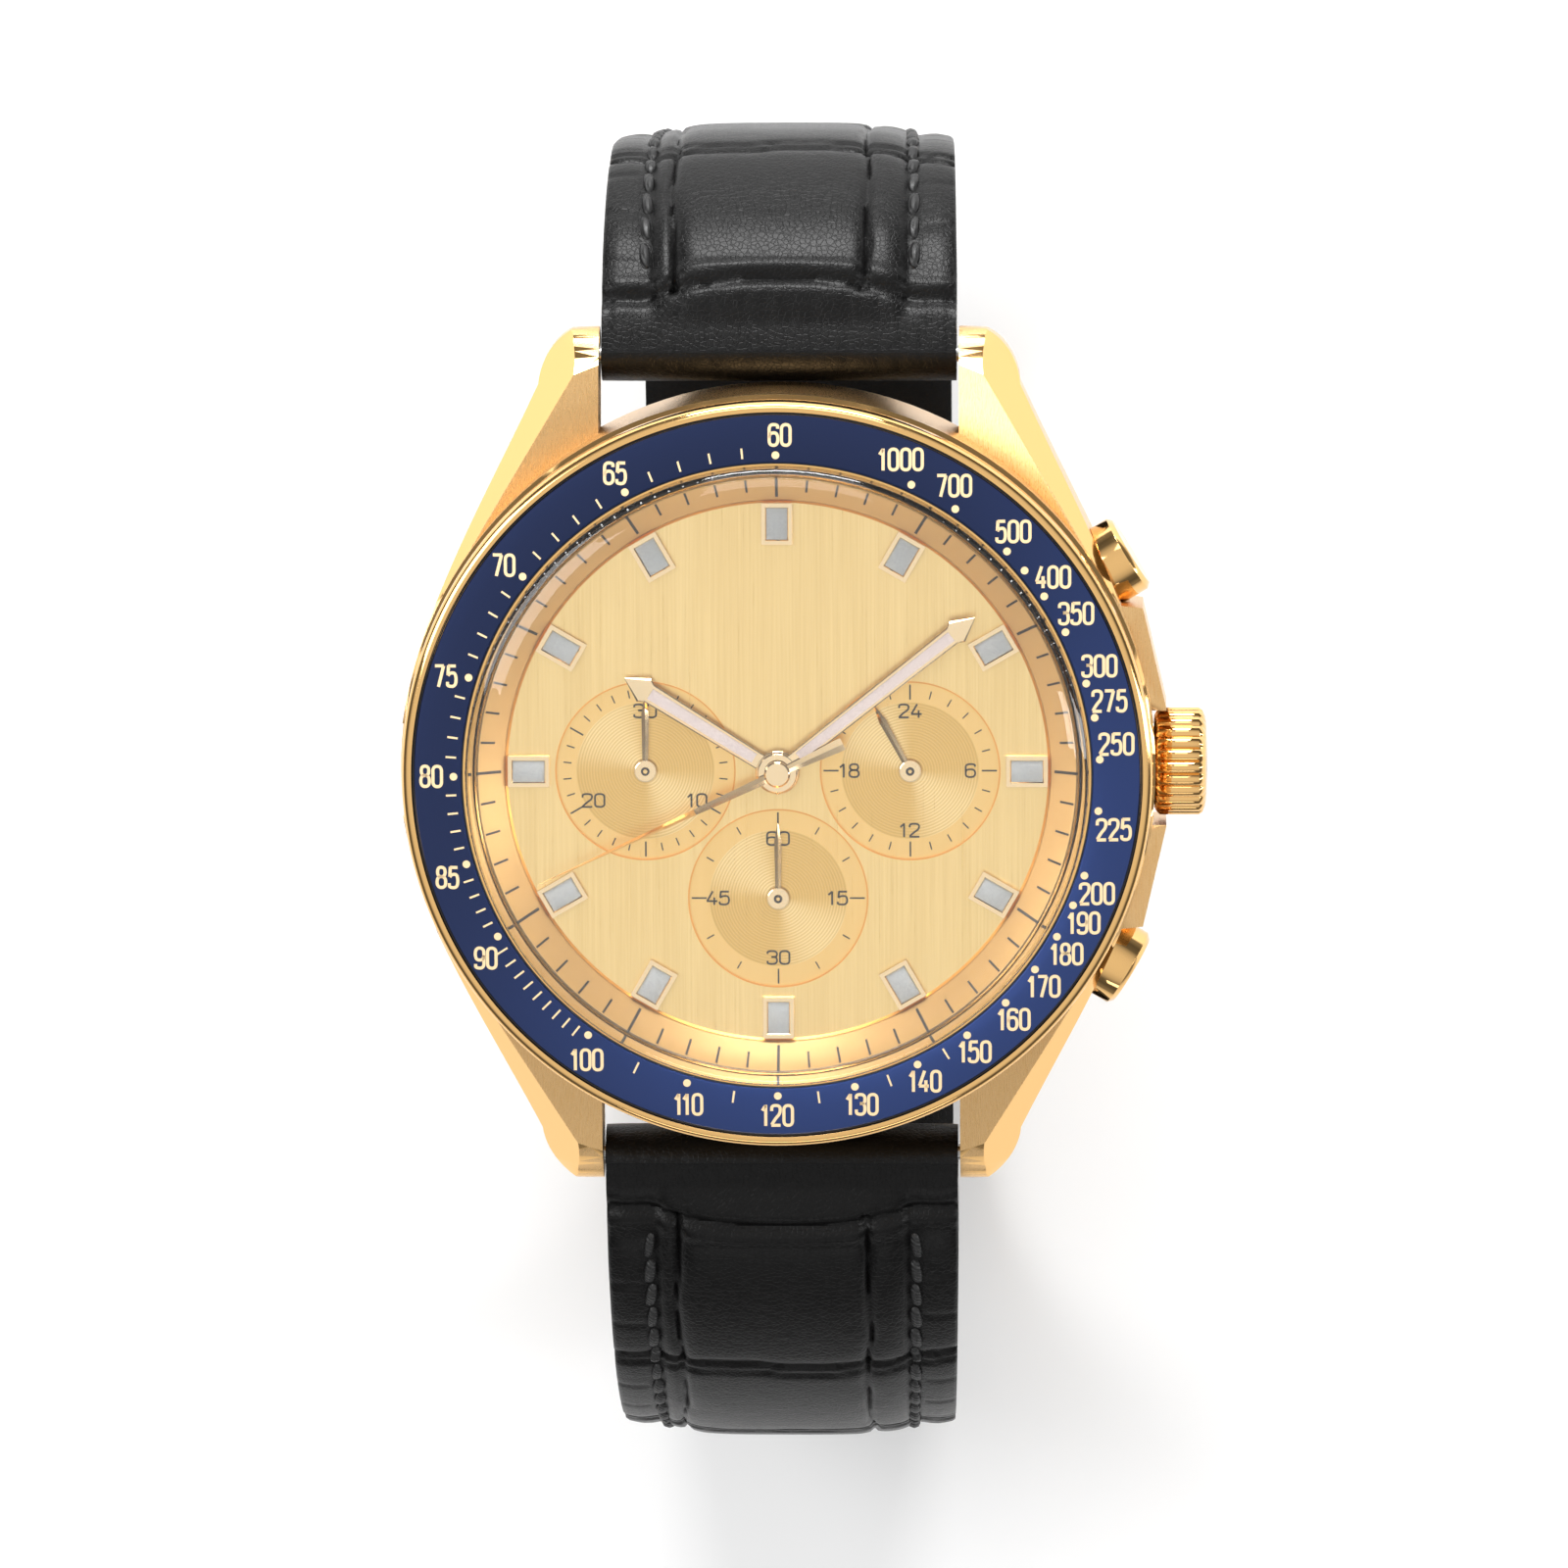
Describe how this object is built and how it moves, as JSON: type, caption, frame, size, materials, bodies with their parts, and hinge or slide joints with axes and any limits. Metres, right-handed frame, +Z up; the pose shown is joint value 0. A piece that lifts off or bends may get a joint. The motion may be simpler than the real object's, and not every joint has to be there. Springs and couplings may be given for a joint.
{
  "type": "chronograph wristwatch",
  "caption": "Gold-cased chronograph wristwatch with blue scale bezel, three sub-dials, crown, two pushers and a buckled black leather strap.",
  "frame": {"origin": "on the resting plane under the dial axis, at the underside of the strap's fixed keeper", "axes": "+Z up along the dial axis, +X to the crown at 3 o'clock, +Y to 12 o'clock"},
  "size_m": [0.0447, 0.0764, 0.0589],
  "materials": {
    "case_gold": "brushed yellow gold plate on steel, lug bevels polished",
    "polished_gold": "mirror-polished yellow gold plate",
    "blue_insert": "dark blue anodised ring with a fine circular grain and gold scale",
    "crystal": "clear domed crystal",
    "gasket_rubber": "black moulded rubber",
    "dial_gold": "vertically brushed champagne gold",
    "steel": "hardened and polished steel",
    "movement_plate": "rhodium-plated brass with straight graining",
    "wheel_brass": "gilt brass, circular grained",
    "ruby": "polished synthetic ruby",
    "strap_leather": "black calf embossed with a crocodile grain, semi-gloss"
  },
  "bodies": {
    "root": {"case_middle": "case_gold", "case_back": "case_gold", "bezel_ring": "polished_gold", "bezel_insert": "blue_insert", "crystal": "crystal", "case_gaskets": "gasket_rubber", "chapter_ring": "dial_gold", "case_tubes": "steel", "movement_holder": "steel", "main_plate": "movement_plate", "jewels": "ruby", "barrel_bridge": "movement_plate", "train_bridge": "movement_plate", "escapement_cocks": "movement_plate", "chronograph_bridge": "movement_plate", "movement_screws": "steel", "dial": "dial_gold", "hour_markers": "polished_gold", "spring_bars": "steel", "strap_short": "strap_leather", "strap_long": "strap_leather", "buckle_frame": "polished_gold", "start_pusher_spring": "steel", "reset_pusher_spring": "steel"},
    "minute": {"centre_wheel": "wheel_brass", "cannon_pinion": "steel", "minute_hand": "polished_gold"},
    "minute_work": {"minute_wheel": "wheel_brass"},
    "hour": {"hour_wheel": "wheel_brass", "hour_hand": "polished_gold"},
    "day_middle": {"day_middle_wheel": "wheel_brass"},
    "day_hour": {"day_wheel": "wheel_brass", "day_hour_hand": "polished_gold"},
    "barrel": {"barrel_drum": "wheel_brass"},
    "third": {"third_wheel": "wheel_brass"},
    "small_seconds": {"fourth_wheel": "wheel_brass", "small_seconds_hand": "polished_gold"},
    "escape": {"escape_wheel": "wheel_brass"},
    "pallet": {"pallet_fork": "steel"},
    "balance": {"balance_wheel": "wheel_brass"},
    "winding": {"winding_pinions": "steel"},
    "crown": {"crown": "polished_gold", "winding_stem": "steel"},
    "crown_wheel": {"crown_wheel": "steel"},
    "ratchet": {"barrel_arbor": "steel", "mainspring": "steel"},
    "click": {"click": "steel"},
    "setting": {"setting_lever": "steel"},
    "chronograph": {"chronograph_wheel": "wheel_brass", "chronograph_hand": "polished_gold"},
    "counter_middle": {"counter_middle_wheel": "wheel_brass"},
    "minute_counter": {"minute_counter_wheel": "wheel_brass", "minute_counter_hand": "polished_gold"},
    "start": {"start_pusher": "polished_gold"},
    "reset": {"reset_pusher": "polished_gold"},
    "operating": {"operating_lever": "steel"},
    "hammer": {"reset_hammer": "steel"},
    "column": {"column_wheel": "steel"},
    "tongue": {"buckle_tongue": "polished_gold"},
    "keeper": {"keeper_free": "strap_leather"}
  },
  "joints": [
    {"name": "minute_turn", "type": "hinge", "parent": "root", "child": "minute", "pos_m": [0, 0, 0.05], "axis": [0, 0, 1], "continuous": true},
    {"name": "minute_work_turn", "type": "hinge", "parent": "root", "child": "minute_work", "pos_m": [0, -0.003, 0.05], "axis": [0, 0, 1], "continuous": true},
    {"name": "hour_turn", "type": "hinge", "parent": "root", "child": "hour", "pos_m": [0, 0, 0.05], "axis": [0, 0, 1], "continuous": true},
    {"name": "day_middle_turn", "type": "hinge", "parent": "root", "child": "day_middle", "pos_m": [0.00434, 0.00205, 0.05], "axis": [0, 0, 1], "continuous": true},
    {"name": "day_hour_turn", "type": "hinge", "parent": "root", "child": "day_hour", "pos_m": [0.0073, 0, 0.05], "axis": [0, 0, 1], "continuous": true},
    {"name": "barrel_turn", "type": "hinge", "parent": "root", "child": "barrel", "pos_m": [0.00252, 0.00623, 0.05], "axis": [0, 0, 1], "continuous": true},
    {"name": "third_turn", "type": "hinge", "parent": "root", "child": "third", "pos_m": [0.00256, -0.00392, 0.05], "axis": [0, 0, 1], "continuous": true},
    {"name": "small_seconds_turn", "type": "hinge", "parent": "root", "child": "small_seconds", "pos_m": [0, -0.0071, 0.05], "axis": [0, 0, 1], "continuous": true},
    {"name": "escape_turn", "type": "hinge", "parent": "root", "child": "escape", "pos_m": [-0.0031, -0.00823, 0.05], "axis": [0, 0, 1], "continuous": true},
    {"name": "pallet_swing", "type": "hinge", "parent": "root", "child": "pallet", "pos_m": [-0.0054, -0.0069, 0.05], "axis": [0, 0, 1], "range_deg": [-4, 4]},
    {"name": "balance_swing", "type": "hinge", "parent": "root", "child": "balance", "pos_m": [-0.00826, -0.00525, 0.05], "axis": [0, 0, 1], "range_deg": [-270, 270], "stiffness_Nm_per_rad": 0.0000003},
    {"name": "crown_turn", "type": "hinge", "parent": "root", "child": "winding", "pos_m": [0.0125, 0, 0.0506], "axis": [1, 0, 0], "continuous": true},
    {"name": "crown_pull", "type": "slide", "parent": "winding", "child": "crown", "axis": [1, 0, 0], "range_m": [0, 0.0009]},
    {"name": "crown_wheel_turn", "type": "hinge", "parent": "root", "child": "crown_wheel", "pos_m": [0.0092, 0, 0.05], "axis": [0, 0, 1], "continuous": true},
    {"name": "ratchet_turn", "type": "hinge", "parent": "root", "child": "ratchet", "pos_m": [0.00252, 0.00623, 0.05], "axis": [0, 0, 1], "continuous": true},
    {"name": "click_lift", "type": "hinge", "parent": "root", "child": "click", "pos_m": [-0.00124, 0.01329, 0.049], "axis": [0, 0, 1], "range_deg": [0, 5], "stiffness_Nm_per_rad": 0.0001},
    {"name": "setting_turn", "type": "hinge", "parent": "root", "child": "setting", "pos_m": [0.0143, -0.0029, 0.0512], "axis": [0, 0, 1], "range_deg": [-23, 0]},
    {"name": "chronograph_run", "type": "hinge", "parent": "root", "child": "chronograph", "pos_m": [0, 0, 0.048], "axis": [0, 0, 1], "continuous": true},
    {"name": "counter_middle_turn", "type": "hinge", "parent": "root", "child": "counter_middle", "pos_m": [-0.00372, 0.0022, 0.048], "axis": [0, 0, 1], "continuous": true},
    {"name": "minute_counter_turn", "type": "hinge", "parent": "root", "child": "minute_counter", "pos_m": [-0.0073, 0, 0.048], "axis": [0, 0, 1], "continuous": true},
    {"name": "start_push", "type": "slide", "parent": "root", "child": "start", "axis": [-0.8572, -0.515, 0], "range_m": [0, 0.001], "stiffness_N_per_m": 400, "springref_m": -0.0003, "deforming": ["start_pusher_spring"]},
    {"name": "reset_push", "type": "slide", "parent": "root", "child": "reset", "axis": [-0.8572, 0.515, 0], "range_m": [0, 0.001], "stiffness_N_per_m": 400, "springref_m": -0.0003, "deforming": ["reset_pusher_spring"]},
    {"name": "operating_turn", "type": "hinge", "parent": "root", "child": "operating", "pos_m": [0.0123, 0.0034, 0.048], "axis": [0, 0, 1], "range_deg": [0, 17.5]},
    {"name": "hammer_turn", "type": "hinge", "parent": "root", "child": "hammer", "pos_m": [0.0123, -0.0034, 0.048], "axis": [0, 0, 1], "range_deg": [-17.5, 0]},
    {"name": "column_turn", "type": "hinge", "parent": "root", "child": "column", "pos_m": [0.0094, 0.0074, 0.048], "axis": [0, 0, 1], "range_deg": [0, 30]},
    {"name": "tongue_swing", "type": "hinge", "parent": "root", "child": "tongue", "pos_m": [0, -0.013, 0.0043], "axis": [1, 0, 0], "range_deg": [0, 6.5]},
    {"name": "keeper_slide", "type": "slide", "parent": "root", "child": "keeper", "axis": [0, 1, 0], "range_m": [-0.0018, 0]}
  ],
  "couplings": [
    {"joint": "minute_work_turn", "follows": "minute_turn", "ratio": -0.33333},
    {"joint": "hour_turn", "follows": "minute_turn", "ratio": 0.083333},
    {"joint": "day_middle_turn", "follows": "minute_turn", "ratio": -0.083333},
    {"joint": "day_hour_turn", "follows": "minute_turn", "ratio": 0.041667},
    {"joint": "barrel_turn", "follows": "minute_turn", "ratio": -0.14286},
    {"joint": "third_turn", "follows": "minute_turn", "ratio": -8},
    {"joint": "small_seconds_turn", "follows": "minute_turn", "ratio": 60},
    {"joint": "escape_turn", "follows": "minute_turn", "ratio": -600},
    {"joint": "crown_wheel_turn", "follows": "crown_turn", "ratio": 0.41176},
    {"joint": "ratchet_turn", "follows": "crown_turn", "ratio": -0.23333},
    {"joint": "setting_turn", "follows": "crown_pull", "rad_per_m": -435},
    {"joint": "counter_middle_turn", "follows": "chronograph_run", "ratio": -0.2},
    {"joint": "minute_counter_turn", "follows": "chronograph_run", "ratio": 0.033333},
    {"joint": "operating_turn", "follows": "start_push", "rad_per_m": 300},
    {"joint": "hammer_turn", "follows": "reset_push", "rad_per_m": -300},
    {"joint": "column_turn", "follows": "start_push", "rad_per_m": 500}
  ]
}
